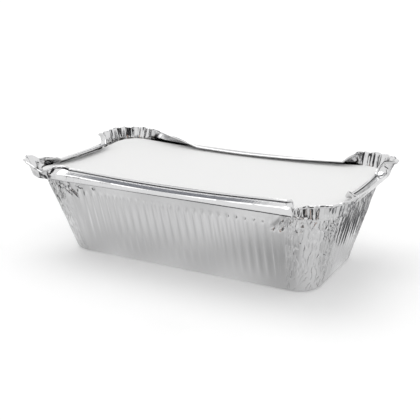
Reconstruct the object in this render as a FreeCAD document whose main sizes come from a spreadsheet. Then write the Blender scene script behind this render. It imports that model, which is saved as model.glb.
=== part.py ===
"""Foil food container: a pressed aluminium foil tray closed with a white board lid.

The tray is one sheet of foil: flat base, ribbed walls, a narrow ledge for the lid, and a rim that
stands up in pleats at the corners and is folded over the lid along the sides.

Frame: millimetres, origin at the centre of the base, +X along the length, +Y to the back, +Z up.
"""
import FreeCAD, Part
import math
import os

import Sketcher
from FreeCAD import Rotation, Vector

doc = FreeCAD.newDocument("foil_food_container")
sheet = doc.addObject("Spreadsheet::Sheet", "Sizes")

# Sizes that can be set by themselves, in millimetres and degrees.
DRIVING_SIZES = [
    ("rim_length", 202.0, "outer length of the ledge"),
    ("rim_width", 115.0, "outer width of the ledge"),
    ("rim_corner", 13.0, "corner radius of the ledge"),
    ("ledge_width", 4.4, "flat of the ledge along the sides"),
    ("ledge_round", 3.5, "how much rounder the walls' top is than the ledge"),
    ("tray_height", 51.4, "base to top of the ledge"),
    ("base_length", 169.0, "length of the base"),
    ("base_width", 74.0, "width of the base"),
    ("base_corner", 14.0, "corner radius of the base"),
    ("base_edge", 2.0, "rounding between base and walls"),
    ("foil_gauge", 0.1, "thickness of the foil"),
    ("rib_pitch", 5.4, "spacing of the pressed ribs"),
    ("rib_width", 3.4, "width of a rib on the wall"),
    ("rib_depth", 0.45, "how far a rib stands out"),
    ("rib_start", 5.0, "base to the ribs' lower tips"),
    ("rib_stop", 5.0, "ribs' upper tips to the ledge"),
    ("rib_fade", 4.0, "height in which a rib grows from its tips"),
    ("long_margin", 5.5, "plain wall beside the ribs, long walls"),
    ("end_margin", 1.0, "plain wall beside the ribs, end walls"),
    ("rim_band", 11.4, "breadth of the rim above the ledge, hem included"),
    ("rise_end", 4.6, "ledge to fold line at the ends of a side"),
    ("rim_slump", 1.3, "how much more the upright rim is crushed far from its corner"),
    ("hem_width", 1.4, "breadth of the rolled hem"),
    ("hem_depth", 0.9, "thickness of the rolled hem"),
    ("pleat_pitch", 3.2, "spacing of the pleats at the corners"),
    ("pleat_depth", 0.8, "depth of a pleat at the top edge"),
    ("fold_step", 12.0, "spacing of the sections along a folded side"),
    ("lid_rest", 1.2, "how far the lid reaches over the ledge"),
    ("lid_board", 0.6, "thickness of the lid board"),
    ("lid_play", 0.2, "play between ledge and lid at the middle of a side"),
    ("lid_lift", 3.4, "how far the board's corners are bowed up"),
]

# Each corner of the rim: its outward lean, how far it stands upright from the corner along X and
# along Y, the length in which the rim then turns over along X and along Y, and the share of its
# height that is crushed.
CORNER_WORDS = ("lean", "stand_x", "stand_y", "turn_x", "turn_y", "crush")
CORNER_SIZES = {
    "front_left": (27.0, 18.0, 19.0, 12.0, 9.0, 0.03),
    "front_right": (13.0, 21.0, 33.0, 7.0, 5.0, 0.2),
    "back_right": (26.0, 22.0, 15.0, 9.0, 8.0, 0.0),
    "back_left": (16.0, 19.0, 31.0, 46.0, 7.0, 0.05),
}

# Each folded side of the rim at its middle: ledge to fold line, inward tilt below and above the fold
# line, and how much less the fold closes at the ends.
SIDE_WORDS = ("rise", "tilt", "fold", "ease")
SIDE_SIZES = {
    "front": (2.6, 18.0, 84.0, 10.0),
    "right": (4.1, -20.0, 111.0, 12.0),
    "back": (2.6, 18.0, 86.0, 10.0),
    "left": (3.4, 10.0, 78.0, -6.0),
}

# Front, right, back and left: the way along each side, anticlockwise from above, and its outward way.
SIDE_WAYS = [
    (Vector(1, 0, 0), Vector(0, -1, 0)),
    (Vector(0, 1, 0), Vector(1, 0, 0)),
    (Vector(-1, 0, 0), Vector(0, 1, 0)),
    (Vector(0, -1, 0), Vector(-1, 0, 0)),
]

# Sizes that follow from the others.
FOLLOWING_SIZES = [
    ("mouth_length", "rim_length - 2 * ledge_width"),
    ("mouth_width", "rim_width - 2 * ledge_width"),
    ("long_slope", "(mouth_width - base_width) / (2 * tray_height)"),
    ("end_slope", "(mouth_length - base_length) / (2 * tray_height)"),
    ("long_inset", "foil_gauge * sqrt(1 + long_slope * long_slope)"),
    ("end_inset", "foil_gauge * sqrt(1 + end_slope * end_slope)"),
    ("mouth_corner", "rim_corner + ledge_round"),
    ("corner_growth", "(mouth_corner - base_corner) / tray_height"),
    ("long_ribs", "floor((base_length - 2 * base_corner - 2 * long_margin) / rib_pitch)"),
    ("end_ribs", "floor((base_width - 2 * base_corner - 2 * end_margin) / rib_pitch)"),
    ("lid_length", "mouth_length + 2 * lid_rest"),
    ("lid_width", "mouth_width + 2 * lid_rest"),
    ("lid_corner", "mouth_corner"),
]


def fill_sheet():
    """Write every size to the sheet, each cell under its own alias."""
    rows = [(name, value) for name, value, _ in DRIVING_SIZES]
    for table, words in ((CORNER_SIZES, CORNER_WORDS), (SIDE_SIZES, SIDE_WORDS)):
        for place, values in table.items():
            rows += [(place + "_" + word, value) for word, value in zip(words, values)]
    rows += [(name, "=" + formula) for name, formula in FOLLOWING_SIZES]
    for row, (name, content) in enumerate(rows, 1):
        sheet.set("A%d" % row, name)
        sheet.set("B%d" % row, str(content))
        sheet.setAlias("B%d" % row, name)
    doc.recompute()


def size(name):
    """One size from the sheet as a plain number."""
    return float(sheet.get(name))


def origin_part(body, role):
    """A plane or an axis of the body's own origin."""
    return [part for part in body.Origin.OriginFeatures if part.Role == role][0]


def flat_sketch(body, name, height):
    """An empty sketch parallel to the base, at a height given as a formula."""
    sketch = body.newObject("Sketcher::SketchObject", name)
    sketch.AttachmentSupport = [(origin_part(body, "XY_Plane"), "")]
    sketch.MapMode = "FlatFace"
    sketch.setExpression("AttachmentOffset.Base.z", height)
    return sketch


def dimension(sketch, kind, places, formula):
    """Add a dimension to a sketch and bind it to a formula."""
    value = float(sketch.evalExpression(formula))
    index = sketch.addConstraint(Sketcher.Constraint(kind, *places, value))
    sketch.setExpression("Constraints[%d]" % index, formula)


def rounded_outline(sketch, length, width, corner):
    """A centred rounded rectangle whose length, width and corner radius are formulas."""
    x, y, radius = [float(sketch.evalExpression(formula)) for formula in (length, width, corner)]
    x, y = x / 2, y / 2
    first = sketch.GeometryCount
    corners = [(1, -1, -90), (1, 1, 0), (-1, 1, 90), (-1, -1, 180)]
    for side_x, side_y, start in corners:
        centre = Vector(side_x * (x - radius), side_y * (y - radius), 0)
        circle = Part.Circle(centre, Vector(0, 0, 1), radius)
        arc = Part.ArcOfCircle(circle, math.radians(start), math.radians(start + 90))
        sketch.addGeometry(arc)
    for index in range(4):
        start = sketch.getPoint(first + index, 2)
        end = sketch.getPoint(first + (index + 1) % 4, 1)
        sketch.addGeometry(Part.LineSegment(start, end))
    arcs = [first + index for index in range(4)]
    lines = [first + 4 + index for index in range(4)]
    for index in range(4):
        sketch.addConstraint(Sketcher.Constraint("Tangent", arcs[index], 2, lines[index], 1))
        sketch.addConstraint(Sketcher.Constraint("Tangent", lines[index], 2, arcs[(index + 1) % 4], 1))
        direction = "Vertical" if index % 2 == 0 else "Horizontal"
        sketch.addConstraint(Sketcher.Constraint(direction, lines[index]))
    for arc in arcs[1:]:
        sketch.addConstraint(Sketcher.Constraint("Equal", arcs[0], arc))
    sketch.addConstraint(Sketcher.Constraint("Symmetric", arcs[0], 3, arcs[2], 3, -1, 1))
    dimension(sketch, "Radius", (arcs[0],), corner)
    dimension(sketch, "DistanceX", (lines[2], 1, lines[0], 1), length)
    dimension(sketch, "DistanceY", (lines[3], 1, lines[1], 1), width)


def flat_face(outline, holes=()):
    """A plane face from a row of points, with holes given as more rows of points."""
    wires = [Part.makePolygon(list(points) + [points[0]]) for points in [outline, *holes]]
    return Part.makeFace(wires, "Part::FaceMakerBullseye")


# Plane facets of the foil round a corner of the walls.
CORNER_FACETS = 9


class Level:
    """A rounded rectangle at one height of the walls, stepped back from them at the base's edge."""

    def __init__(self, height, back, long_inset, end_inset):
        self.height = height
        self.half_x = size("base_length") / 2 + size("end_slope") * height - end_inset - back
        self.half_y = size("base_width") / 2 + size("long_slope") * height - long_inset - back
        self.radius = size("base_corner") + size("corner_growth") * height - end_inset - back

    def halves(self, side):
        """Half the run along a side, and the distance from the middle out to it."""
        return (self.half_x, self.half_y) if side % 2 == 0 else (self.half_y, self.half_x)

    def point(self, side, place, out=0.0):
        """A point on a side: its place along it, and how far it stands out from it."""
        along, outward = SIDE_WAYS[side]
        return along * place + outward * (self.halves(side)[1] + out) + Vector(0, 0, self.height)

    def straight(self, side):
        """Both ends of the straight stretch of a side."""
        reach = self.halves(side)[0] - self.radius
        return self.point(side, -reach), self.point(side, reach)

    def corner(self, side):
        """Points round the corner that follows a side, both its ends included."""
        along, outward = SIDE_WAYS[side]
        run, across = self.halves(side)
        centre = along * (run - self.radius) + outward * (across - self.radius) + Vector(0, 0, self.height)
        turns = [step / CORNER_FACETS * math.pi / 2 for step in range(CORNER_FACETS + 1)]
        return [centre + (along * math.sin(turn) + outward * math.cos(turn)) * self.radius for turn in turns]

    def outline(self):
        """Points once round the whole rounded rectangle."""
        return [point for side in range(4) for point in self.corner(side)]


def rib_rows(side, insets):
    """For each rib of a wall its left edge, crest and right edge, as points from lower to upper tip."""
    start, stop = size("rib_start"), size("tray_height") - size("rib_stop")
    fade, depth, half_rib = size("rib_fade"), size("rib_depth"), size("rib_width") / 2
    levels = [Level(height, 0.0, *insets) for height in (start, start + fade, stop - fade, stop)]
    count = int(size("long_ribs" if side % 2 == 0 else "end_ribs"))
    rows = []
    for rib in range(count):
        centre = (rib + 0.5 - count / 2) * size("rib_pitch")
        tips = [levels[0].point(side, centre), levels[3].point(side, centre)]
        lines = [[level.point(side, centre + shift, out) for level in levels[1:3]]
                 for shift, out in ((-half_rib, 0.0), (0.0, depth), (half_rib, 0.0))]
        rows.append([[tips[0], *line, tips[1]] for line in lines])
    return rows


# Where the two facets of a rounded edge meet, as a share of its radius from either of its faces.
HALF_WAY = 1 - math.sqrt(0.5)


def foil_side(floor, top, rounding, insets):
    """One side of the pressing: flat base, edge rounded in two facets, walls and the ribs on them."""
    levels = [
        Level(floor, rounding, *insets),
        Level(floor + HALF_WAY * rounding, HALF_WAY * rounding, *insets),
        Level(floor + rounding, 0.0, *insets),
        Level(top, 0.0, *insets),
    ]
    faces = [flat_face(levels[0].outline())]
    for low, high in zip(levels, levels[1:]):
        for side in range(4):
            holes = []
            if high is levels[-1]:
                for left, crest, right in rib_rows(side, insets):
                    holes.append(left + right[-2:0:-1])
                    for first, second in ((left, crest), (crest, right)):
                        faces.append(flat_face([first[0], second[1], first[1]]))
                        faces.append(flat_face([first[1], second[1], second[2], first[2]]))
                        faces.append(flat_face([first[2], second[2], first[3]]))
            faces.append(flat_face([*low.straight(side), *high.straight(side)[::-1]], holes))
            lower, upper = low.corner(side), high.corner(side)
            for step in range(CORNER_FACETS):
                faces.append(flat_face([lower[step], lower[step + 1], upper[step + 1], upper[step]]))
    return faces, levels[-1].outline()


def turned_over(share):
    """How far the rim is turned over, from 0 to 1, where its top edge has come down by a share."""
    return math.acos(1 - min(max(share, 0.0), 1.0)) * 2 / math.pi


def side_stations(side, first, last, axis, run):
    """Places along one side of the rim: distance from its first corner, how far the rim is turned
    over there, how near the place is to the middle of the folded stretch, the nearer corner, and how
    far out the place is on that corner's upright stretch."""
    corner = size("rim_corner")
    stand_first = size("%s_stand_%s" % (first, axis))
    stand_last = size("%s_stand_%s" % (last, axis))
    turn_first = size("%s_turn_%s" % (first, axis))
    turn_last = size("%s_turn_%s" % (last, axis))
    pleat = size("pleat_pitch") / 2
    stops = [corner, stand_first + turn_first, run - stand_last - turn_last, run - corner]
    places = []
    for start, end, step in zip(stops, stops[1:], (pleat, size("fold_step"), pleat)):
        count = max(2, math.ceil((end - start) / step))
        places += [start + (end - start) * index / count for index in range(count)]
    places.append(stops[-1])
    stations = []
    for place in places:
        turned = turned_over((place - stand_first) / turn_first)
        turned *= turned_over((run - place - stand_last) / turn_last)
        share = (place - stand_first) / (run - stand_first - stand_last)
        middle = math.sin(math.pi * min(max(share, 0.0), 1.0))
        near, stand = (first, stand_first) if place < run / 2 else (last, stand_last)
        away = min((min(place, run - place) - corner) / (stand - corner), 1.0)
        stations.append((place, turned, middle, near, away))
    return stations


def rim_stations():
    """Foot point and inward direction of the rim, once round, anticlockwise from above, each with how
    far the rim is turned over, how near the middle of the fold it is, its side, its corner, and how
    far out it is on that corner's upright stretch."""
    half_x, half_y, radius = size("rim_length") / 2, size("rim_width") / 2, size("rim_corner")
    steps = max(4, math.ceil(math.pi * radius / size("pleat_pitch")))
    corners = ("front_left", "front_right", "back_right", "back_left", "front_left")
    stations = []
    for index, side in enumerate(("front", "right", "back", "left")):
        along, outward = SIDE_WAYS[index]
        run, across, axis = (half_x, half_y, "x") if index % 2 == 0 else (half_y, half_x, "y")
        first, last = corners[index], corners[index + 1]
        start = outward * across - along * run
        for place, *values, near, out in side_stations(side, first, last, axis, 2 * run):
            stations.append((start + along * place, outward * -1, *values, side, near, out))
        centre = outward * (across - radius) + along * (run - radius)
        for step in range(1, steps):
            angle = step / steps * math.pi / 2
            away = along * math.sin(angle) + outward * math.cos(angle)
            stations.append((centre + away * radius, away * -1, 0.0, 0.0, side, last, 0.0))
    return stations


def rim_section(turned, middle, side, corner, away, pleat):
    """The rim's cross-section as (inward, up) pairs: five up its outer side, round the hem, and four
    down its inner side."""
    gauge, hem, depth = size("foil_gauge"), size("hem_width"), size("hem_depth")
    lean = size(corner + "_lean")
    squeeze = 1 - size(corner + "_crush") * (1 + size("rim_slump") * away) * (1 - turned)
    rise = size("rise_end") + (size(side + "_rise") - size("rise_end")) * middle
    closed = size(side + "_fold") - size(side + "_ease") * (1 - middle)
    lower = math.radians(size(side + "_tilt") * turned - lean / 2 * (1 - turned))
    upper = math.radians(closed * turned - lean * (1 - turned))
    foot = (gauge / 2, -gauge / 2)
    way_low = (math.sin(lower), math.cos(lower))
    way_high = (math.sin(upper), math.cos(upper))
    out_high = (-way_high[1], way_high[0])
    half_turn = (upper - lower) / 2
    middle_way = (lower + upper) / 2
    out_fold = (-math.cos(middle_way) / math.cos(half_turn), math.sin(middle_way) / math.cos(half_turn))

    def moved(point, way, length, shift=0.0):
        return (point[0] + way[0] * length + shift, point[1] + way[1] * length)

    fold_line = moved(foot, way_low, rise * squeeze, pleat / 2)
    hem_line = moved(fold_line, way_high, (size("rim_band") - rise - hem) * squeeze, pleat / 2)
    edge = moved(hem_line, way_high, hem)
    return [
        (0.0, -gauge),
        moved(fold_line, out_fold, gauge / 2),
        moved(hem_line, out_high, gauge / 2),
        moved(hem_line, out_high, depth - gauge / 2),
        moved(edge, out_high, depth - gauge / 2),
        moved(edge, out_high, -gauge / 2),
        moved(hem_line, out_high, -gauge / 2),
        moved(fold_line, out_fold, -gauge / 2),
        (gauge, 0.0),
    ]


# Points of a rim section on its outer side, hem included.
OUTER_POINTS = 5


def split_facet(corners, other_way):
    """Two triangles for four corners. Both sides of the foil are split along the same line."""
    one, two, three, four = corners
    if other_way:
        one, two, three, four = two, three, four, one
    return [flat_face([one, two, three]), flat_face([one, three, four])]


def rim_lines():
    """The rim's cross-sections as rows of points, each from the ledge's underside to its top."""
    ledge_top = Vector(0, 0, size("tray_height"))
    lines = []
    for index, (foot, inward, turned, *place) in enumerate(rim_stations()):
        pleat = size("pleat_depth") * (1 - turned) * (1 if index % 2 else -1)
        section = rim_section(turned, *place, pleat)
        lines.append([foot + ledge_top + inward * across + Vector(0, 0, up) for across, up in section])
    return lines


def make_tray():
    """The whole tray as one sheet of foil: its outer side, its rim and its inner side in one skin.

    The pleats and the fold differ at every section of the rim, so the skin is laid out facet by facet.
    """
    gauge, top, rounding = size("foil_gauge"), size("tray_height"), size("base_edge")
    outer_faces, outer_mouth = foil_side(0.0, top - gauge, rounding, (0.0, 0.0))
    insets = (size("long_inset"), size("end_inset"))
    inner_faces, inner_mouth = foil_side(gauge, top, rounding - gauge, insets)
    lines = rim_lines()
    faces = outer_faces + inner_faces
    for mouth, place in ((outer_mouth, 0), (inner_mouth, -1)):
        faces.append(flat_face([line[place] for line in lines], [mouth]))
    for first, second in zip(lines, lines[1:] + lines[:1]):
        for index in range(len(first) - 1):
            faces += split_facet([first[index], second[index], second[index + 1], first[index + 1]],
                                 index > OUTER_POINTS - 1)
    skin = Part.makeShell(faces)
    skin.sewShape()
    solid = Part.makeSolid(skin)
    tray = doc.addObject("Part::Feature", "foil_tray")
    tray.Shape = solid if solid.Volume > 0 else solid.reversed()
    tray.Label = "foil_tray"
    tray.Placement = FreeCAD.Placement(Vector(0, 0, 0), Rotation())
    return tray


def make_lid():
    """The board: a rounded blank cut from a sheet that bows up towards its corners."""
    body = doc.addObject("PartDesign::Body", "lid_blank")
    sketch = flat_sketch(body, "lid_outline", "Sizes.tray_height")
    rounded_outline(sketch, "Sizes.lid_length", "Sizes.lid_width", "Sizes.lid_corner")
    pad = body.newObject("PartDesign::Pad", "lid_block")
    pad.Profile = sketch
    pad.setExpression("Length", "Sizes.lid_play + Sizes.lid_lift + 2 * Sizes.lid_board")

    # The height goes with the square of x times the square of y, and is lid_lift at the corners.
    margin = size("lid_board")
    half = (size("lid_length") / 2, size("lid_width") / 2)
    grown = [(value + margin) / value for value in half]
    surface = Part.BezierSurface()
    surface.increase(2, 2)
    signs = (1, -1, 1)
    for row in range(3):
        for column in range(3):
            lift = signs[row] * grown[0] ** 2 * signs[column] * grown[1] ** 2 * size("lid_lift")
            x = (row - 1) * half[0] * grown[0]
            y = (column - 1) * half[1] * grown[1]
            height = size("tray_height") + size("lid_play") + lift
            surface.setPole(row + 1, column + 1, Vector(x, y, height))
    bow = doc.addObject("Part::Feature", "lid_bow")
    bow.Shape = surface.toShape().extrude(Vector(0, 0, size("lid_board")))
    lid = doc.addObject("Part::MultiCommon", "board_lid")
    lid.Shapes = [body, bow]
    lid.Label = "board_lid"
    lid.Placement = FreeCAD.Placement(Vector(0, 0, 0), Rotation())
    return lid


def write_parts(pieces):
    """Check the whole document, then write each piece to a file named after it."""
    doc.recompute()
    for thing in doc.Objects:
        if "Invalid" in thing.State or "Error" in thing.State:
            raise RuntimeError("%s failed: %s" % (thing.Name, thing.State))
    os.makedirs("parts", exist_ok=True)
    for piece in pieces:
        shape = piece.Shape
        if shape.isNull() or not shape.isValid() or len(shape.Solids) != 1:
            raise RuntimeError("%s is not one valid solid" % piece.Label)
        shape.exportStep("parts/%s.step" % piece.Label)
        box = shape.BoundBox
        print("%s: %.0f mm3, x %.1f..%.1f, y %.1f..%.1f, z %.2f..%.2f, %d faces" % (
            piece.Label, shape.Volume, box.XMin, box.XMax, box.YMin, box.YMax, box.ZMin, box.ZMax,
            len(shape.Faces)))


fill_sheet()
write_parts([make_tray(), make_lid()])
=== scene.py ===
"""Foil food container: a pressed foil tray with a folded rim, and the bowed board lid that it holds.

Frame: metres, origin at the centre of the base, +X along the length, +Y to the back, +Z up.
"""
import math
import random

import bmesh
import bpy
from bpy.props import FloatProperty, FloatVectorProperty, IntProperty, PointerProperty
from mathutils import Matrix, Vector, noise


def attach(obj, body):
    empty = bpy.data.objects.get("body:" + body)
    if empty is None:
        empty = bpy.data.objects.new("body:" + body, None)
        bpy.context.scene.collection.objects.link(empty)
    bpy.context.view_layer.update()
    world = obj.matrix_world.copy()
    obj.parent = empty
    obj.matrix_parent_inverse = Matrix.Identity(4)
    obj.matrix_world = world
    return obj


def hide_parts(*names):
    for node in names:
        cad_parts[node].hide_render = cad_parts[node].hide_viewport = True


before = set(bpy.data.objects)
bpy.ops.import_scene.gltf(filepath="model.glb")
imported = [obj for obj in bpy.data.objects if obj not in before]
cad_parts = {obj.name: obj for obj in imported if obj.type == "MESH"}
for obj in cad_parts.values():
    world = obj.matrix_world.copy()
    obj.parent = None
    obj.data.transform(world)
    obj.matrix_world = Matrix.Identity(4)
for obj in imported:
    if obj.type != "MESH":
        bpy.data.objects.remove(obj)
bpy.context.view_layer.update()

bl_info = {
    "name": "Foil food container",
    "version": (1, 0, 0),
    "blender": (4, 5, 0),
    "location": "3D View > Sidebar > Foil container",
    "description": "Builds a foil tray with a folded rim and its board lid",
    "category": "Add Mesh",
}

# Front, right, back and left: the way along each side, anticlockwise from above, and its outward way.
SIDE_WAYS = [
    (Vector((1, 0, 0)), Vector((0, -1, 0))),
    (Vector((0, 1, 0)), Vector((1, 0, 0))),
    (Vector((-1, 0, 0)), Vector((0, 1, 0))),
    (Vector((0, -1, 0)), Vector((-1, 0, 0))),
]

# Draw creases in the long front wall: x and height of both ends, half their breadth, and depth.
DRAW_CREASES = [
    (-0.0802, 0.0486, -0.0772, 0.0430, 0.0011, 0.0009),
    (-0.0766, 0.0496, -0.0708, 0.0424, 0.0012, 0.0011),
    (-0.0728, 0.0490, -0.0650, 0.0400, 0.0012, 0.0011),
    (-0.0661, 0.0497, -0.0610, 0.0470, 0.0011, 0.0008),
    (-0.0540, 0.0494, -0.0516, 0.0476, 0.0013, 0.0008),
    (0.0733, 0.0495, 0.0641, 0.0400, 0.0016, 0.0011),
    (0.0773, 0.0496, 0.0684, 0.0400, 0.0016, 0.0011),
]

# Places where a hand has pressed the rim: centre, reach, and how far it is pushed there.
DENTS = [
    ((0.101, -0.036, 0.0515), 0.010, (0.0, 0.0, -0.0018)),
    ((0.084, -0.0575, 0.0600), 0.009, (0.0, 0.0010, -0.0012)),
    ((-0.082, -0.0600, 0.0650), 0.009, (0.0, -0.0008, -0.0042)),
    ((-0.104, -0.0320, 0.0650), 0.008, (0.0, 0.0, -0.0062)),
]

# Cards round the object, which face CARD_AIM: name, place, width, height and colour.
CARDS = [
    ("card_front", (0.75, -1.40, 0.95), 1.5, 1.1, (0.02, 0.02, 0.022)),
    ("card_left", (-1.30, -0.90, 0.55), 0.7, 0.9, (0.03, 0.03, 0.03)),
    ("card_right", (1.45, -0.25, 0.55), 0.6, 0.9, (0.02, 0.02, 0.022)),
    ("card_warm", (0.30, -1.55, 0.22), 0.18, 0.4, (0.45, 0.22, 0.12)),
    ("card_near", (0.64, -1.42, 0.20), 0.50, 0.42, (0.03, 0.03, 0.03)),
    ("card_back", (-0.70, 1.25, 0.84), 1.1, 0.5, (0.28, 0.29, 0.32)),
]
CARD_AIM = (0.0, 0.0, 0.05)

# Cards that lie just above the floor and face up: name, x and y, width, depth and colour.
STRIPS = [
    ("strip_f", (0.124, 0.065), 0.026, 0.110, (0.10, 0.10, 0.105)),
    ("strip_g", (0.160, 0.060), 0.024, 0.150, (0.16, 0.16, 0.17)),
    ("strip_a", (0.108, -0.152), 0.040, 0.100, (0.02, 0.02, 0.02)),
    ("strip_b", (0.068, -0.152), 0.016, 0.100, (0.34, 0.19, 0.12)),
    ("strip_c", (0.034, -0.152), 0.024, 0.100, (0.03, 0.03, 0.03)),
    ("strip_d", (-0.135, -0.080), 0.026, 0.050, (0.02, 0.02, 0.02)),
    ("strip_e", (-0.175, 0.040), 0.050, 0.040, (0.05, 0.05, 0.05)),
    ("strip_h", (-0.070, -0.150), 0.180, 0.050, (0.04, 0.04, 0.045)),
    ("strip_i", (0.000, -0.430), 0.240, 0.500, (0.05, 0.05, 0.055)),
]
STRIP_HEIGHT = 0.002

# The foil's folds that are sharper than this, in degrees, are shaded as sharp.
SHARP_FOLD = 32

# What is left of the foil's fine creases above the walls, where it is kept smoother.
RIM_CRUMPLED = 0.3


def length(name, description, default):
    """A size in metres."""
    return FloatProperty(name=name, description=description, default=default, min=0.0, unit="LENGTH",
                         precision=5)


def corner_lengths(name, description, default):
    """Four sizes in metres, for the corners from the front left or for the sides from the front."""
    return FloatVectorProperty(name=name, description=description, size=4, default=default,
                               unit="LENGTH", precision=5)


def side_angles(name, description, degrees):
    """Four angles, given in degrees: front, right, back and left."""
    return FloatVectorProperty(name=name, description=description, size=4, unit="ROTATION",
                               default=tuple(math.radians(value) for value in degrees))


class FoilTraySizes(bpy.types.PropertyGroup):
    """Sizes of the pressed tray below the top of its ledge."""

    rim_length: length("Rim length", "Outer length of the ledge", 0.202)
    rim_width: length("Rim width", "Outer width of the ledge", 0.115)
    rim_corner: length("Rim corner", "Corner radius of the ledge", 0.013)
    ledge_width: length("Ledge width", "Flat of the ledge along the sides", 0.0044)
    ledge_round: length("Ledge round", "How much rounder the walls' top is than the ledge", 0.0035)
    tray_height: length("Tray height", "Base to top of the ledge", 0.0514)
    base_length: length("Base length", "Length of the base", 0.169)
    base_width: length("Base width", "Width of the base", 0.074)
    base_corner: length("Base corner", "Corner radius of the base", 0.014)
    base_edge: length("Base edge", "Rounding between base and walls", 0.002)
    foil_gauge: length("Foil gauge", "Thickness of the foil", 0.0001)
    rib_pitch: length("Rib pitch", "Spacing of the pressed ribs", 0.0054)
    rib_width: length("Rib width", "Width of a rib on the wall", 0.0034)
    rib_depth: length("Rib depth", "How far a rib stands out", 0.00055)
    rib_start: length("Rib start", "Base to the ribs' lower tips", 0.005)
    rib_stop: length("Rib stop", "Ribs' upper tips to the ledge", 0.005)
    rib_fade: length("Rib fade", "Height in which a rib grows from its tips", 0.004)
    long_ribs: IntProperty(name="Long ribs", description="Ribs on a long wall", default=24, min=1)
    end_ribs: IntProperty(name="End ribs", description="Ribs on an end wall", default=8, min=1)
    gather_depth: length("Gather depth", "Depth of the gathered folds at the walls' corners", 0.0011)
    gather_reach: length("Gather reach", "How far the gathers run into the walls", 0.012)
    crease_depth: length("Crease depth", "Depth of the fine creases in the corners", 0.00045)


class FoilRimSizes(bpy.types.PropertyGroup):
    """Sizes of the rim above the ledge."""

    band: length("Band", "Breadth of the rim above the ledge, hem included", 0.0114)
    rise_middle: corner_lengths("Rise, middle", "Ledge to fold line at the middle of each side",
                                (0.0026, 0.0041, 0.0026, 0.0034))
    rise_end: length("Rise, end", "Ledge to fold line at the ends of a side", 0.0046)
    rise_tilt: side_angles("Rise tilt", "Inward tilt of each side below the fold line",
                           (18.0, -20.0, 18.0, 10.0))
    fold: side_angles("Fold", "Inward tilt of each side above the fold line",
                      (84.0, 111.0, 93.0, 84.0))
    fold_ease: side_angles("Fold ease", "How much less each fold closes at the ends of its side",
                           (10.0, 12.0, 10.0, -6.0))
    fold_round: length("Fold round", "Half the run in which the foil turns at the fold line", 0.0007)
    hem_width: length("Hem width", "Breadth of the rolled hem", 0.0015)
    hem_depth: length("Hem depth", "Thickness of the rolled hem", 0.0011)
    pleat_pitch: length("Pleat pitch", "Mean spacing of the pleats at the corners", 0.0028)
    pleat_fade: length("Pleat fade", "Run in which the pleats die out beyond a corner", 0.009)
    pleat_depth: length("Pleat depth", "Depth of a pleat at the top edge", 0.0018)
    lean: FloatVectorProperty(
        name="Lean", description="Outward lean of the upright rim at each corner", size=4,
        default=tuple(math.radians(value) for value in (27.0, 13.0, 26.0, 16.0)), unit="ROTATION")
    stand_x: corner_lengths("Stand X", "Upright run from each corner along X",
                            (0.018, 0.021, 0.022, 0.019))
    stand_y: corner_lengths("Stand Y", "Upright run from each corner along Y",
                            (0.019, 0.033, 0.015, 0.031))
    turn_x: corner_lengths("Turn X", "Run along X in which the rim turns over",
                           (0.012, 0.007, 0.009, 0.046))
    turn_y: corner_lengths("Turn Y", "Run along Y in which the rim turns over",
                           (0.009, 0.005, 0.008, 0.007))
    crush: FloatVectorProperty(
        name="Crush", description="Share of the upright band that is crushed down at each corner",
        size=4, default=(0.03, 0.20, 0.0, 0.05), min=0.0, max=0.9)
    slump: FloatVectorProperty(
        name="Slump", description="Further share that is crushed at the far end of its upright stretches",
        size=4, default=(0.16, 0.26, 0.0, 0.07), min=0.0, max=0.9)


class BoardLidSizes(bpy.types.PropertyGroup):
    """Sizes of the board lid."""

    rest: length("Rest", "How far the lid reaches over the ledge", 0.0012)
    board: length("Board", "Thickness of the board", 0.0006)
    play: length("Play", "Play between ledge and lid at the middle of a side", 0.0002)
    lift: length("Lift", "How far the corners are bowed up", 0.0034)
    bevel: length("Bevel", "Rounding of the cut edge", 0.00008)


class StageSizes(bpy.types.PropertyGroup):
    """Place of the camera, and size and place of the floor."""

    camera_place: FloatVectorProperty(
        name="Camera place", description="Where the camera stands", size=3,
        default=(0.22991, -0.43141, 0.18284), subtype="TRANSLATION", unit="LENGTH")
    camera_aim: FloatVectorProperty(
        name="Camera aim", description="Point that the camera looks at", size=3,
        default=(-0.00395, 0.00705, 0.02509), subtype="TRANSLATION", unit="LENGTH")
    camera_lens: FloatProperty(name="Lens", description="Focal length in millimetres", default=68.97)
    floor_size: length("Floor size", "Side of the square floor", 6.0)
    floor_gap: length("Floor gap", "How far the floor lies below the base", 0.0002)


def smooth(share):
    """0 below 0, 1 above 1 and a smooth turn between."""
    share = min(max(share, 0.0), 1.0)
    return share * share * (3 - 2 * share)


def turned_over(share):
    """How far the rim is turned over, from 0 to 1, where its top edge has come down by a share."""
    return math.acos(1 - min(max(share, 0.0), 1.0)) * 2 / math.pi


def crumple(place, cell, stretch=1.0):
    """Sharp-ridged facets of about that cell size, from -1 to 1, drawn out along Z by stretch."""
    spot = Vector((place.x, place.y, place.z / stretch)) / cell
    return noise.voronoi(spot)[0][0] * 2 - 1


def zigzag(run, pitch, seed):
    """Sharp folds along a run, irregular in spacing and height: values to look up by place."""
    chance = random.Random(seed)
    places, heights, place, sign = [0.0], [0.0], 0.0, 1.0
    while place < run - pitch:
        place += pitch * chance.uniform(0.55, 1.5)
        places.append(place)
        heights.append(sign * chance.uniform(0.45, 1.0))
        sign = -sign
    places.append(max(run, place + pitch))
    heights.append(0.0)

    def value(where):
        low = 0
        high = len(places) - 1
        while high - low > 1:
            middle = (low + high) // 2
            low, high = (middle, high) if places[middle] <= where else (low, middle)
        share = (where - places[low]) / (places[high] - places[low])
        return heights[low] + (heights[high] - heights[low]) * share

    return value


# Which stretch of a side a station is on: the plain wall before the ribs, the ribs, the plain wall after
# them, or the corner that ends the side.
FIRST, CORE, LAST, ARC = range(4)


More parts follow.
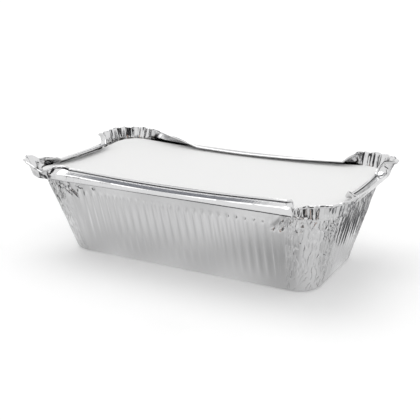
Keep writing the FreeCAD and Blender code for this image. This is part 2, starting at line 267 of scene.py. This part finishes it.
class TrayForm:
    """Every point of the tray's skin, from its sizes."""

    # Stations: the widest step beside the ribs, the steps round a corner, and the places in one pitch.
    outer_step = 0.0007
    corner_steps = 32
    rib_samples = (-0.5, -0.315, -0.22, -0.11, 0.0, 0.11, 0.22, 0.315)
    # Rings of the walls: where the closer upper ones begin, how many there are below and above that
    # height, and how far the last one stays under the ledge.
    wall_split = 0.036
    wall_steps = (13, 15)
    wall_gap = 0.0004
    # Rings of the rim: shares of the ledge, shares of the band, and turns round the hem in degrees.
    ledge_shares = (0.12, 0.5, 0.94)
    band_shares = (0.07, 0.14, 0.2, 0.26, 0.32, 0.38, 0.44, 0.5, 0.6, 0.72, 0.86, 1.0)
    hem_turns = (-60, -15, 30, 75, 120, 170, 215)
    # Strength of gathers and creases where a long and an end wall's ribs begin, and how much of it an end
    # wall loses towards its middle. A long wall loses all of it.
    long_gather = 0.18
    end_gather = 0.6
    end_loss = 0.4
    # Crumpled facets: their cells on the walls, coarse and fine, on the ledge and on the rim.
    coarse_cell = 0.0062
    fine_cell = 0.0031
    ledge_cell = 0.0035
    rim_cell = 0.0055
    # Depth of the ledge's gathers and facets, and of the rim's facets on the folds and at a corner.
    ledge_gather = 0.00022
    ledge_facet = 0.00012
    fold_facet = 0.00002
    corner_facet = 0.00016
    # How much the upright band's height wavers, and the share of the crumpled look that all foil has.
    waver = 0.05
    least_crumpled = 0.12

    def __init__(self, tray, rim):
        self.tray, self.rim = tray, rim
        self.mouth_length = tray.rim_length - 2 * tray.ledge_width
        self.mouth_width = tray.rim_width - 2 * tray.ledge_width
        self.mouth_corner = tray.rim_corner + tray.ledge_round
        # Half the run of the ribs on a long and an end wall.
        self.core = (tray.long_ribs * tray.rib_pitch / 2, tray.end_ribs * tray.rib_pitch / 2)
        self.stations = self.all_stations()
        self.runs = self.all_runs()
        self.whole = self.runs[-1] + self.outer_step
        self.pleats = zigzag(self.whole, rim.pleat_pitch, 11)
        self.fine_pleats = zigzag(self.whole, rim.pleat_pitch * 0.45, 5)
        self.gathers = zigzag(self.whole, rim.pleat_pitch * 1.5, 23)

    def all_stations(self):
        """Side, stretch and place on it for each station, once round from the front left."""
        tray = self.tray
        stations = []
        for side in range(4):
            core = self.core[side % 2]
            half = (tray.rim_length if side % 2 == 0 else tray.rim_width) / 2
            steps = math.ceil((half - tray.rim_corner - core) / self.outer_step)
            stations += [(side, FIRST, step / steps) for step in range(steps)]
            ribs = tray.long_ribs if side % 2 == 0 else tray.end_ribs
            for rib in range(ribs):
                middle = (rib + 0.5 - ribs / 2) * tray.rib_pitch
                stations += [(side, CORE, middle + share * tray.rib_pitch) for share in self.rib_samples]
            stations += [(side, LAST, step / steps) for step in range(steps)]
            stations += [(side, ARC, step / self.corner_steps) for step in range(self.corner_steps)]
        return stations

    def all_runs(self):
        """The run along the ledge's outer edge up to each station."""
        runs, run, last = [], 0.0, None
        for station in self.stations:
            place, _ = self.rim_spot(station)
            run += (place - last).length if last is not None else 0.0
            runs.append(run)
            last = place
        return runs

    def spot(self, station, half_x, half_y, radius):
        """A station's place on a rounded rectangle, and the outward way there."""
        side, stretch, share = station
        along, outward = SIDE_WAYS[side]
        run, across = (half_x, half_y) if side % 2 == 0 else (half_y, half_x)
        reach, core = run - radius, self.core[side % 2]
        if stretch == ARC:
            turn = share * math.pi / 2
            away = along * math.sin(turn) + outward * math.cos(turn)
            return along * reach + outward * (across - radius) + away * radius, away
        place = share
        if stretch == FIRST:
            place = -(reach + (core - reach) * share)
        elif stretch == LAST:
            place = core + (reach - core) * share
        return along * place + outward * across, outward

    def wall_spot(self, station, height, back=0.0):
        """The same on the walls' outline at a height, stepped back from it at the base's edge."""
        tray = self.tray
        share = height / tray.tray_height
        half_x = (tray.base_length + (self.mouth_length - tray.base_length) * share) / 2 - back
        half_y = (tray.base_width + (self.mouth_width - tray.base_width) * share) / 2 - back
        radius = tray.base_corner + (self.mouth_corner - tray.base_corner) * share - back
        place, away = self.spot(station, half_x, half_y, radius)
        return place + Vector((0, 0, height)), away

    def rim_spot(self, station):
        """The same on the ledge's outer edge."""
        tray = self.tray
        place, away = self.spot(station, tray.rim_length / 2, tray.rim_width / 2, tray.rim_corner)
        return place + Vector((0, 0, tray.tray_height)), away

    def corner_share(self, station):
        """1 round a corner, less beside the ribs, and least in the middle of a wall."""
        side, stretch, share = station
        if stretch == ARC:
            return 1.0
        least = self.long_gather if side % 2 == 0 else self.end_gather
        if stretch == CORE:
            reach = (self.core[side % 2] - abs(share)) / self.tray.gather_reach
            return least * (1 - smooth(reach) * (self.end_loss if side % 2 else 1.0))
        near = 1 - share if stretch == FIRST else share
        return least + (1 - least) * smooth(near * 1.25 - 0.2)

    def rib(self, station, height):
        """How far a rib stands out at a station and height. A crest is where two pitches meet."""
        tray, (side, stretch, place) = self.tray, station
        if stretch != CORE:
            return 0.0
        ribs = tray.end_ribs if side % 2 else tray.long_ribs
        within = (place / tray.rib_pitch + 0.5 * (ribs + 1)) % 1.0
        across = (within - 0.5) * 2 * tray.rib_pitch / tray.rib_width
        shape = max(0.0, 1 - across * across)
        low = smooth((height - tray.rib_start) / tray.rib_fade)
        high = smooth((tray.tray_height - tray.rib_stop - height) / tray.rib_fade)
        return tray.rib_depth * shape * low * high

    def shard(self, place):
        """Short slanting wrinkles, from -1 to 0: narrow valleys along the zero lines of a noise."""
        spot = Vector((place.x * 150 + place.z * 60, place.y * 150, place.z * 75 - place.x * 40))
        valley = max(0.0, 1 - abs(noise.noise(spot)) * 9)
        here = smooth(noise.noise(spot * 0.45 + Vector((5, 1, 3))) * 3 + 0.4)
        return -1.6 * valley * here

    def crease(self, place):
        """How deep the draw creases press the front wall in at a place."""
        deepest = 0.0
        for x0, z0, x1, z1, half, depth in DRAW_CREASES:
            way_x, way_z = x1 - x0, z1 - z0
            square = way_x * way_x + way_z * way_z
            share = ((place.x - x0) * way_x + (place.z - z0) * way_z) / square
            if -0.1 < share < 1.1:
                off = abs((place.x - x0) * way_z - (place.z - z0) * way_x) / math.sqrt(square)
                ends = smooth((share + 0.1) * 3) * smooth((1.1 - share) * 3)
                deepest = max(deepest, depth * max(0.0, 1 - off / half) * ends)
        return deepest

    def wall_point(self, index, height):
        """A point of the walls with its ribs, gathers and creases."""
        tray, station = self.tray, self.stations[index]
        place, away = self.wall_spot(station, height)
        share = height / tray.tray_height
        corner = self.corner_share(station)
        # The gathers grow upwards, and weaken in the last few millimetres below the ledge.
        drawn = share ** 1.2 * (1 - smooth((share - 0.94) / 0.05) * 0.6)
        out = self.rib(station, height)
        out += self.gathers(self.runs[index]) * tray.gather_depth * corner * drawn
        rough = crumple(place, self.coarse_cell, 4.5)
        rough += 0.5 * crumple(place + Vector((9, 0, 0)), self.fine_cell, 3.5)
        out += rough * tray.crease_depth * (corner * corner * (0.35 + 0.65 * share) + 0.05)
        out += self.shard(place) * tray.crease_depth * corner
        if station[0] == 0 and station[1] != ARC:
            out -= self.crease(place)
        return place + away * out

    def fold_values(self, index):
        """At a station: how far the rim is turned over, how near the middle of the fold it is, the
        corner, how strongly it is pleated, and how far out it is on the upright stretch."""
        tray, rim, (side, stretch, _) = self.tray, self.rim, self.stations[index]
        first, last = side, (side + 1) % 4
        if stretch == ARC:
            return 0.0, 0.0, last, 1.0, 0.0
        stand, turn = (rim.stand_x, rim.turn_x) if side % 2 == 0 else (rim.stand_y, rim.turn_y)
        run = tray.rim_length if side % 2 == 0 else tray.rim_width
        place, _ = self.rim_spot(self.stations[index])
        where = run / 2 + place.dot(SIDE_WAYS[side][0])
        turned = turned_over((where - stand[first]) / turn[first])
        turned *= turned_over((run - where - stand[last]) / turn[last])
        share = (where - stand[first]) / (run - stand[first] - stand[last])
        middle = math.sin(math.pi * min(max(share, 0.0), 1.0))
        near = first if where < run / 2 else last
        beyond = min(where - stand[first], run - where - stand[last])
        near_end = min(where, run - where) - tray.rim_corner
        away = min(near_end / (stand[near] - tray.rim_corner), 1.0)
        return turned, middle, near, 1 - smooth(beyond / rim.pleat_fade), away

    def rim_path(self, index):
        """The rim's cross-section at a station, up the band and then round the hem: each point's way in
        and up, and its run along the band. Also how strongly it is pleated, and the hem's outward way."""
        rim = self.rim
        turned, middle, corner, pleated, away = self.fold_values(index)
        side, lean, upright = self.stations[index][0], rim.lean[corner], 1 - turned
        rise = rim.rise_end + (rim.rise_middle[side] - rim.rise_end) * middle
        lower = rim.rise_tilt[side] * turned - lean / 2 * upright
        upper = (rim.fold[side] - rim.fold_ease[side] * (1 - middle)) * turned - lean * upright
        uneven = noise.noise(Vector((self.runs[index] * 160, 3.1, 7.7)))
        slumped = rim.crush[corner] + rim.slump[corner] * away
        squeeze = 1 - upright * (slumped + self.waver * uneven)
        inward, up, start, points = 0.0, 0.0, 0.0, []
        for reach in self.band_shares:
            stop = reach * (rim.band - rim.hem_width)
            # Three equal steps, with the tilt that the band has a third, five ninths and all of the way up.
            step = (stop - start) / 3 * squeeze
            for share in (1 / 3, 5 / 9, 1.0):
                along = start + (stop - start) * share
                bend = smooth((along - rise + rim.fold_round) / (2 * rim.fold_round))
                tilt = lower + (upper - lower) * bend
                inward += math.sin(tilt) * step
                up += math.cos(tilt) * step
            points.append((inward, up, stop))
            start = stop
        way, out = (math.sin(upper), math.cos(upper)), (-math.cos(upper), math.sin(upper))
        half, deep = rim.hem_width / 2, rim.hem_depth / 2
        centre = [points[-1][axis] + way[axis] * half + out[axis] * deep for axis in (0, 1)]
        for degrees in self.hem_turns:
            turn = math.radians(degrees)
            run, rise_out = math.cos(turn) * half, math.sin(turn) * deep
            points.append((centre[0] + way[0] * run + out[0] * rise_out,
                           centre[1] + way[1] * run + out[1] * rise_out, rim.band))
        return points, pleated, out

    def rim_points(self, index):
        """The rim at a station as points of the skin, with its pleats and creases."""
        rim = self.rim
        path, pleated, out = self.rim_path(index)
        foot, away = self.rim_spot(self.stations[index])
        run = self.runs[index]
        pleat = (self.pleats(run) + 0.3 * self.fine_pleats(run)) * rim.pleat_depth * 0.5 * pleated
        facet = self.fold_facet + self.corner_facet * pleated
        points = []
        for inward, up, along in path:
            share = along / rim.band
            point = foot - away * inward + Vector((0, 0, up))
            shift = pleat * (0.45 + 0.55 * share) * smooth(share * 5)
            shift += crumple(point, self.rim_cell, 6.0) * facet * smooth(share * 4)
            points.append(point + away * (shift * out[0]) + Vector((0, 0, shift * out[1])))
        return points

    def ledge_point(self, index, share):
        """A point on the ledge: share 0 at the walls, 1 at its outer edge."""
        station = self.stations[index]
        top = self.tray.tray_height
        inner, _ = self.wall_spot(station, top)
        outer, _ = self.rim_spot(station)
        point = inner.lerp(outer, share)
        corner = self.corner_share(station)
        wave = self.gathers(self.runs[index]) * self.ledge_gather * corner
        wave += self.ledge_facet * corner * crumple(point, self.ledge_cell)
        return point + Vector((0, 0, wave))

    def dent(self, point):
        """A point after the hand's presses."""
        for centre, reach, push in DENTS:
            off = (point - Vector(centre)).length / reach
            if off < 2.2:
                point = point + Vector(push) * math.exp(-off * off)
        return point

    def crumpled(self):
        """How crumpled the foil looks at each station, up to 1."""
        least = self.least_crumpled
        return [least + (1 - least) * self.corner_share(station) for station in self.stations]

    def rings(self):
        """The skin as rings of points, from the base to the hem, and the number of the ledge's first."""
        tray, everyone = self.tray, range(len(self.stations))
        rounding = tray.base_edge
        rings = []
        for turn in (0.0, 30.0, 60.0):
            height = rounding * (1 - math.cos(math.radians(turn)))
            back = rounding * (1 - math.sin(math.radians(turn)))
            rings.append([self.wall_spot(self.stations[index], height, back)[0] for index in everyone])
        top = tray.tray_height - self.wall_gap
        spans = ((rounding, self.wall_split), (self.wall_split, top))
        for (low, high), steps in zip(spans, self.wall_steps):
            for step in range(steps):
                height = low + (high - low) * step / steps
                rings.append([self.wall_point(index, height) for index in everyone])
        rings.append([self.wall_point(index, top) for index in everyone])
        ledge_ring = len(rings)
        for share in self.ledge_shares:
            rings.append([self.ledge_point(index, share) for index in everyone])
        rings += zip(*[self.rim_points(index) for index in everyone])
        return [[self.dent(point) for point in ring] for ring in rings], ledge_ring


def next_ring(bm, edges):
    """Extrude a ring of edges where it is: the new ring's vertices and edges."""
    fresh = bmesh.ops.extrude_edge_only(bm, edges=edges)["geom"]
    verts = {item for item in fresh if isinstance(item, bmesh.types.BMVert)}
    return verts, [item for item in fresh
                   if isinstance(item, bmesh.types.BMEdge) and set(item.verts) <= verts]


def finished_mesh(name, bm):
    """A mesh made from a bmesh, which is freed."""
    mesh = bpy.data.meshes.new(name)
    bm.to_mesh(mesh)
    bm.free()
    return mesh


def swept_skin(name, form):
    """The tray's skin, drawn ring by ring from a capped circle. Its UV map is in metres: run round the
    tray, and way up the skin, which is measured at one station. The attribute crumpled is 1 where the
    foil is creased most, and weaker from the ledge on."""
    rings, ledge_ring = form.rings()
    runs, crumpled = form.runs, form.crumpled()
    bm = bmesh.new()
    station = bm.verts.layers.int.new("station")
    level = bm.verts.layers.int.new("level")
    worn = bm.verts.layers.float.new("crumpled")
    made = bmesh.ops.create_circle(bm, cap_ends=True, segments=len(runs), radius=1.0)["verts"]
    for index, vert in enumerate(made):
        vert[station], vert.co, vert[worn] = index, rings[0][index], crumpled[index]
    edges = list(bm.edges)
    for number, ring in enumerate(rings[1:], 1):
        verts, edges = next_ring(bm, edges)
        left = 1.0 if number < ledge_ring else RIM_CRUMPLED
        for vert in verts:
            vert.co, vert[level] = ring[vert[station]], number
            vert[worn] = crumpled[vert[station]] * left
    ways = [0.0]
    measured = len(runs) // 8
    for low, high in zip(rings, rings[1:]):
        ways.append(ways[-1] + (high[measured] - low[measured]).length)
    layer = bm.loops.layers.uv.new("skin")
    for face in bm.faces:
        seam = {loop.vert[station] for loop in face.loops} >= {0, len(runs) - 1}
        for loop in face.loops:
            at = loop.vert[station]
            loop[layer].uv = (form.whole if seam and at == 0 else runs[at], ways[loop.vert[level]])
    bmesh.ops.recalc_face_normals(bm, faces=bm.faces)
    base = max(bm.faces, key=lambda face: len(face.verts))
    if base.normal.z > 0:
        bmesh.ops.reverse_faces(bm, faces=bm.faces)
    return finished_mesh(name, bm)


def add_object(name, mesh, materials):
    """Put a mesh in the scene, smooth but for its sharp folds."""
    for material in materials:
        mesh.materials.append(material)
    mesh.shade_smooth()
    piece = bpy.data.objects.new(name, mesh)
    bpy.context.scene.collection.objects.link(piece)
    return piece


def thicken(piece, thickness, offset):
    """Give a skin its thickness: inwards for an offset of -1, outwards for 1."""
    solid = piece.modifiers.new("thickness", "SOLIDIFY")
    solid.thickness = thickness
    solid.offset = offset
    return solid


class Nodes:
    """Short ways to place and join shader nodes. A source is a node and the name of its output."""

    def __init__(self, tree):
        self.tree = tree

    def add(self, kind, **values):
        """A node with settings and values of its sockets."""
        node = self.tree.nodes.new(kind)
        for key, value in values.items():
            if hasattr(node, key) and key not in node.inputs:
                setattr(node, key, value)
            else:
                node.inputs[key].default_value = value
        return node

    def join(self, source, socket, target, name):
        """A link from an output to an input."""
        self.tree.links.new(source.outputs[socket], target.inputs[name])

    def math(self, operation, *terms, **settings):
        """A calculation with sources and numbers. It gives a source."""
        node = self.add("ShaderNodeMath", operation=operation, **settings)
        for place, term in enumerate(terms):
            if isinstance(term, tuple):
                self.join(*term, node, place)
            else:
                node.inputs[place].default_value = term
        return node, "Value"

    def pattern(self, kind, source, scale, turn=0.0, **values):
        """A flat texture of a UV that is scaled along its two ways and turned."""
        placed = self.add("ShaderNodeMapping", Scale=(*scale, 1.0), Rotation=(0.0, 0.0, turn))
        texture = self.add(kind, Scale=1.0, **values)
        self.join(*source, placed, "Vector")
        self.join(placed, "Vector", texture, "Vector")
        return texture


def crinkle_group():
    """Fine crinkles of handled foil as a height, from a UV in metres: upright fans all over, small facets
    where the foil is crumpled, and thin slanting wrinkles where it is crumpled most."""
    group = bpy.data.node_groups.get("foil_crinkle")
    if group:
        return group
    group = bpy.data.node_groups.new("foil_crinkle", "ShaderNodeTree")
    group.interface.new_socket("Vector", in_out="INPUT", socket_type="NodeSocketVector")
    group.interface.new_socket("Crumpled", in_out="INPUT", socket_type="NodeSocketFloat")
    group.interface.new_socket("Height", in_out="OUTPUT", socket_type="NodeSocketFloat")
    nodes = Nodes(group)
    begin, end = nodes.add("NodeGroupInput"), nodes.add("NodeGroupOutput")
    skin, crumpled = (begin, "Vector"), (begin, "Crumpled")
    fans = nodes.pattern("ShaderNodeTexNoise", skin, (620.0, 70.0), noise_dimensions="2D", Detail=2.0)
    facets = nodes.pattern("ShaderNodeTexVoronoi", skin, (420.0, 110.0), voronoi_dimensions="2D")
    lines = nodes.pattern("ShaderNodeTexNoise", skin, (300.0, 95.0), 0.3, noise_dimensions="2D",
                          Detail=1.0)
    # The wrinkles are valleys where the noise passes its middle.
    apart = nodes.math("ABSOLUTE", nodes.math("SUBTRACT", (lines, "Fac"), 0.5))
    valleys = nodes.math("MULTIPLY", apart, 11.0, use_clamp=True)
    wrinkles = nodes.math("MULTIPLY", valleys, nodes.math("POWER", crumpled, 5.0))
    both = nodes.math("ADD", nodes.math("MULTIPLY", (fans, "Fac"), 0.22),
                      nodes.math("MULTIPLY", (facets, "Distance"), crumpled))
    nodes.join(*nodes.math("MULTIPLY_ADD", wrinkles, 1.9, both), end, "Height")
    return group


def foil_material():
    """Bright rolled aluminium foil."""
    material = bpy.data.materials.new("foil")
    material.use_nodes = True
    nodes = Nodes(material.node_tree)
    shader = material.node_tree.nodes["Principled BSDF"]
    shader.inputs["Base Color"].default_value = (0.72, 0.72, 0.725, 1.0)
    shader.inputs["Metallic"].default_value = 1.0
    shader.inputs["Roughness"].default_value = 0.14
    place = nodes.add("ShaderNodeUVMap", uv_map="skin")
    worn = nodes.add("ShaderNodeAttribute", attribute_name="crumpled")
    crinkle = nodes.add("ShaderNodeGroup")
    crinkle.node_tree = crinkle_group()
    bump = nodes.add("ShaderNodeBump")
    bump.inputs["Strength"].default_value = 0.6
    bump.inputs["Distance"].default_value = 0.00035
    nodes.join(place, "UV", crinkle, "Vector")
    nodes.join(worn, "Fac", crinkle, "Crumpled")
    nodes.join(crinkle, "Height", bump, "Height")
    nodes.join(bump, "Normal", shader, "Normal")
    return material


def plain_material(name, colour, roughness, metallic=0.0):
    """One even finish."""
    material = bpy.data.materials.new(name)
    material.use_nodes = True
    shader = material.node_tree.nodes["Principled BSDF"]
    shader.inputs["Base Color"].default_value = (*colour, 1.0)
    shader.inputs["Roughness"].default_value = roughness
    shader.inputs["Metallic"].default_value = metallic
    return material


class FOIL_OT_tray(bpy.types.Operator):
    """Build the foil tray: base, ribbed walls, ledge, folded rim and rolled hem in one skin."""

    bl_idname = "foil_container.tray"
    bl_label = "Foil tray"

    def execute(self, context):
        tray = context.scene.foil_tray_sizes
        mesh = swept_skin("foil_tray_dressed", TrayForm(tray, context.scene.foil_rim_sizes))
        mesh.set_sharp_from_angle(angle=math.radians(SHARP_FOLD))
        piece = add_object("foil_tray_dressed", mesh, [foil_material()])
        thicken(piece, tray.foil_gauge, -1.0)
        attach(piece, "root")
        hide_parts("foil_tray")
        return {"FINISHED"}


def board_outline(half_x, half_y, corner):
    """The board's outline, anticlockwise: each corner, and the side that comes after it."""
    steps = 24
    outline = []
    for side in range(4):
        along, outward = SIDE_WAYS[side]
        run, across = (half_x, half_y) if side % 2 == 0 else (half_y, half_x)
        for step in range(steps):
            turn = step / steps * math.pi / 2
            away = along * math.sin(turn) + outward * math.cos(turn)
            outline.append(along * (run - corner) + outward * (across - corner) + away * corner)
        along, outward = SIDE_WAYS[(side + 1) % 4]
        reach = across - corner
        for step in range(steps * 2):
            place = -reach + 2 * reach * step / (steps * 2)
            outline.append(along * place + outward * run)
    return outline


def board_skin(name, tray, lid):
    """The board's lower skin, drawn inwards ring by ring from its outline and bowed up at its corners."""
    half_x = tray.rim_length / 2 - tray.ledge_width + lid.rest
    half_y = tray.rim_width / 2 - tray.ledge_width + lid.rest
    outline = board_outline(half_x, half_y, tray.rim_corner + tray.ledge_round)
    bm = bmesh.new()
    station = bm.verts.layers.int.new("station")
    ring = bmesh.ops.create_circle(bm, segments=len(outline), radius=1.0)["verts"]
    for index, vert in enumerate(ring):
        vert[station], vert.co = index, outline[index]
    edges = list(bm.edges)
    for share in (0.985, 0.94, 0.88, 0.8, 0.7, 0.6, 0.48, 0.36, 0.24, 0.12):
        ring, edges = next_ring(bm, edges)
        for vert in ring:
            vert.co = outline[vert[station]] * share
    bmesh.ops.contextual_create(bm, geom=edges)
    for vert in bm.verts:
        bow = lid.lift * (vert.co.x / half_x) ** 2 * (vert.co.y / half_y) ** 2
        vert.co.z = tray.tray_height + lid.play + bow
    bmesh.ops.recalc_face_normals(bm, faces=bm.faces)
    bm.faces.ensure_lookup_table()
    if bm.faces[0].normal.z < 0:
        bmesh.ops.reverse_faces(bm, faces=bm.faces)
    return finished_mesh(name, bm)


class FOIL_OT_lid(bpy.types.Operator):
    """Build the board lid: white on top, foil lined below, bowed up towards its corners."""

    bl_idname = "foil_container.lid"
    bl_label = "Board lid"

    def execute(self, context):
        lid = context.scene.board_lid_sizes
        mesh = board_skin("board_lid_dressed", context.scene.foil_tray_sizes, lid)
        white = plain_material("board_white", (0.91, 0.91, 0.905), 0.55)
        lining = plain_material("board_lining", (0.72, 0.72, 0.72), 0.35, 1.0)
        cut = plain_material("board_cut", (0.62, 0.60, 0.57), 0.8)
        piece = add_object("board_lid_dressed", mesh, [white, lining, cut])
        solid = thicken(piece, lid.board, 1.0)
        solid.material_offset = 1
        solid.material_offset_rim = 2
        bevel = piece.modifiers.new("edge", "BEVEL")
        bevel.width = lid.bevel
        bevel.segments = 2
        bevel.limit_method = "ANGLE"
        bevel.angle_limit = math.radians(50)
        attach(piece, "root")
        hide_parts("board_lid")
        return {"FINISHED"}


def sun_light(name, place, strength, spread):
    """A soft lamp that shines from a place towards the base's centre, spread over some degrees."""
    lamp = bpy.data.lights.new(name, "SUN")
    lamp.energy = strength
    lamp.angle = math.radians(spread)
    holder = bpy.data.objects.new(name, lamp)
    holder.location = place
    holder.rotation_euler = (-Vector(place)).to_track_quat("-Z", "Y").to_euler()
    bpy.context.scene.collection.objects.link(holder)
    return holder


def card(name, place, aim, width, height, colour):
    """A card that only reflections show, turned towards a point."""
    bm = bmesh.new()
    bmesh.ops.create_grid(bm, x_segments=1, y_segments=1, size=0.5)
    turn = (Vector(aim) - Vector(place)).to_track_quat("Z", "Y")
    for vert in bm.verts:
        flat = Vector((vert.co.x * width, vert.co.y * height, 0.0))
        vert.co = turn @ flat + Vector(place)
    piece = add_object(name, finished_mesh(name, bm), [plain_material(name, colour, 0.9)])
    piece.visible_camera = False
    piece.visible_diffuse = False
    piece.visible_shadow = False
    return piece


def white_world():
    """A world that is plain white to the eye and in reflections, and even light for the rest."""
    world = bpy.data.worlds.new("studio")
    bpy.context.scene.world = world
    world.use_nodes = True
    nodes = Nodes(world.node_tree)
    seen = world.node_tree.nodes["Background"]
    seen.inputs["Color"].default_value = (1.0, 1.0, 1.0, 1.0)
    seen.inputs["Strength"].default_value = 1.0
    light = nodes.add("ShaderNodeBackground", Strength=1.0)
    path = nodes.add("ShaderNodeLightPath")
    either = nodes.math("MAXIMUM", (path, "Is Camera Ray"), (path, "Is Glossy Ray"))
    any_of = nodes.math("MAXIMUM", either, (path, "Is Transmission Ray"))
    mix = nodes.add("ShaderNodeMixShader")
    nodes.join(*any_of, mix, "Fac")
    nodes.join(light, 0, mix, 1)
    nodes.join(seen, 0, mix, 2)
    nodes.join(mix, 0, world.node_tree.nodes["World Output"], "Surface")


def floor_material():
    """White floor that runs into the white world. It takes the object's shadow. Reflections show a
    fainter one, and light and dark patches of painted light: a glow that only reflections see."""
    material = plain_material("floor_white", (0.94, 0.94, 0.94), 0.9)
    nodes = Nodes(material.node_tree)
    shader = material.node_tree.nodes["Principled BSDF"]
    shader.inputs["Emission Color"].default_value = (1.0, 1.0, 1.0, 1.0)
    path = nodes.add("ShaderNodeLightPath")
    # Its colour is 0.94 to the eye and 0.40 in reflections. It glows by 0.15 to the eye, and in reflections
    # by painted light in patches a few centimetres across.
    place = nodes.add("ShaderNodeTexCoord")
    patches = nodes.add("ShaderNodeTexNoise", noise_dimensions="2D", Scale=24.0, Detail=0.0)
    nodes.join(place, "Object", patches, "Vector")
    mirrored = nodes.math("MAXIMUM", (path, "Is Glossy Ray"), (path, "Is Transmission Ray"))
    dimmed = nodes.math("MULTIPLY_ADD", mirrored, -0.54, 0.94)
    patch_light = nodes.math("MULTIPLY_ADD", (patches, "Fac"), 0.55, 0.16)
    lift = nodes.math("MULTIPLY", (path, "Is Camera Ray"), 0.15)
    glow = nodes.math("MULTIPLY_ADD", mirrored, patch_light, lift)
    nodes.join(*dimmed, shader, "Base Color")
    nodes.join(*glow, shader, "Emission Strength")
    return material


def white_floor(sizes):
    """The square floor under the object."""
    bm = bmesh.new()
    bmesh.ops.create_grid(bm, x_segments=1, y_segments=1, size=sizes.floor_size / 2)
    floor = add_object("floor", finished_mesh("floor", bm), [floor_material()])
    floor.location.z = -sizes.floor_gap
    return floor


def photo_camera(sizes):
    """The camera, where the photo's was found to stand."""
    lens = bpy.data.cameras.new("camera")
    lens.lens = sizes.camera_lens
    lens.sensor_width = 36.0
    camera = bpy.data.objects.new("camera", lens)
    camera.location = sizes.camera_place
    aim = Vector(sizes.camera_aim) - Vector(sizes.camera_place)
    camera.rotation_euler = aim.to_track_quat("-Z", "Y").to_euler()
    bpy.context.scene.collection.objects.link(camera)
    return camera


class FOIL_OT_stage(bpy.types.Operator):
    """Set up the white floor, the soft light, the cards and the camera."""

    bl_idname = "foil_container.stage"
    bl_label = "Stage"

    def execute(self, context):
        scene, sizes = context.scene, context.scene.foil_stage_sizes
        white_floor(sizes)
        sun_light("key", place=(-0.35, 0.15, 1.0), strength=0.6, spread=50.0)
        for name, place, width, height, colour in CARDS:
            card(name, place, CARD_AIM, width, height, colour)
        for name, (x, y), width, height, colour in STRIPS:
            card(name, (x, y, STRIP_HEIGHT), (x, y, 1), width, height, colour)
        white_world()
        scene.camera = photo_camera(sizes)
        scene.view_settings.view_transform = "Standard"
        return {"FINISHED"}


class FOIL_PT_panel(bpy.types.Panel):
    """Buttons that build the container and its stage."""

    bl_idname = "FOIL_PT_panel"
    bl_label = "Foil container"
    bl_space_type = "VIEW_3D"
    bl_region_type = "UI"
    bl_category = "Foil container"

    def draw(self, context):
        for operator in (FOIL_OT_tray, FOIL_OT_lid, FOIL_OT_stage):
            self.layout.operator(operator.bl_idname)
        for group in GROUPS:
            box = self.layout.box()
            values = getattr(context.scene, group)
            for name in values.__annotations__:
                box.prop(values, name)


GROUPS = {
    "foil_tray_sizes": FoilTraySizes,
    "foil_rim_sizes": FoilRimSizes,
    "board_lid_sizes": BoardLidSizes,
    "foil_stage_sizes": StageSizes,
}
CLASSES = (*GROUPS.values(), FOIL_OT_tray, FOIL_OT_lid, FOIL_OT_stage, FOIL_PT_panel)


def register():
    for made in CLASSES:
        bpy.utils.register_class(made)
    for name, group in GROUPS.items():
        setattr(bpy.types.Scene, name, PointerProperty(type=group))


def unregister():
    for name in GROUPS:
        delattr(bpy.types.Scene, name)
    for made in reversed(CLASSES):
        bpy.utils.unregister_class(made)


def main():
    register()
    bpy.ops.foil_container.tray()
    bpy.ops.foil_container.lid()
    bpy.ops.foil_container.stage()
    bpy.context.view_layer.update()


if __name__ == "__main__":
    main()
